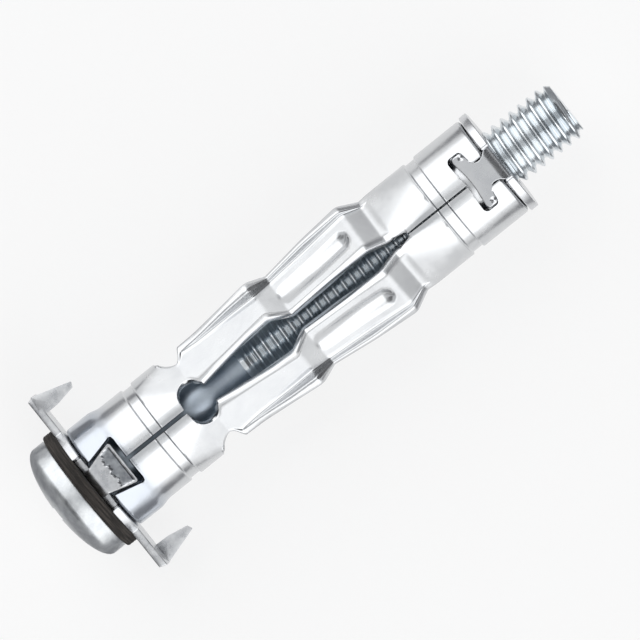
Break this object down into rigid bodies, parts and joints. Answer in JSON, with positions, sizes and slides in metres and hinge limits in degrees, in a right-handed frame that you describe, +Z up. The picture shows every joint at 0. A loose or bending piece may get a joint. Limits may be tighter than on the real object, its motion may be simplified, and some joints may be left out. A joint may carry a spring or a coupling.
{
  "type": "hollow wall anchor",
  "caption": "Metal cavity fixing: slotted sheet sleeve with channelled legs between a claw plate and a nut plate, drawn up by a domed machine screw with a fibre washer.",
  "frame": {"origin": "centre of the bounding box in plan, on the surface that the anchor lies on", "axes": "+X along the screw towards its tip, +Y along one arm of the claw plate, +Z up, towards the sleeve's seam"},
  "size_m": [0.0588, 0.0196, 0.0125],
  "materials": {
    "screw_zinc": "bright zinc plate over rolled steel",
    "fibre": "dark pressed fibre with layered edges",
    "plate_zinc": "zinc plate, dull from tumbling",
    "sleeve_zinc": "bright zinc plate over rolled sheet"
  },
  "bodies": {
    "anchor": {"sleeve": "sleeve_zinc", "claw_plate": "plate_zinc", "nut_plate": "plate_zinc"},
    "washer": {"fibre_washer": "fibre"},
    "screw": {"screw": "screw_zinc"}
  },
  "joints": [
    {"name": "screw_travel", "type": "slide", "parent": "anchor", "child": "washer", "axis": [-1, 0, 0], "range_m": [0, 0.01]},
    {"name": "screw_turn", "type": "hinge", "parent": "washer", "child": "screw", "pos_m": [0, 0, 0.00625], "axis": [1, 0, 0], "range_deg": [-3600, 0]}
  ],
  "couplings": [
    {"joint": "screw_turn", "follows": "screw_travel", "rad_per_m": -6283.2}
  ]
}
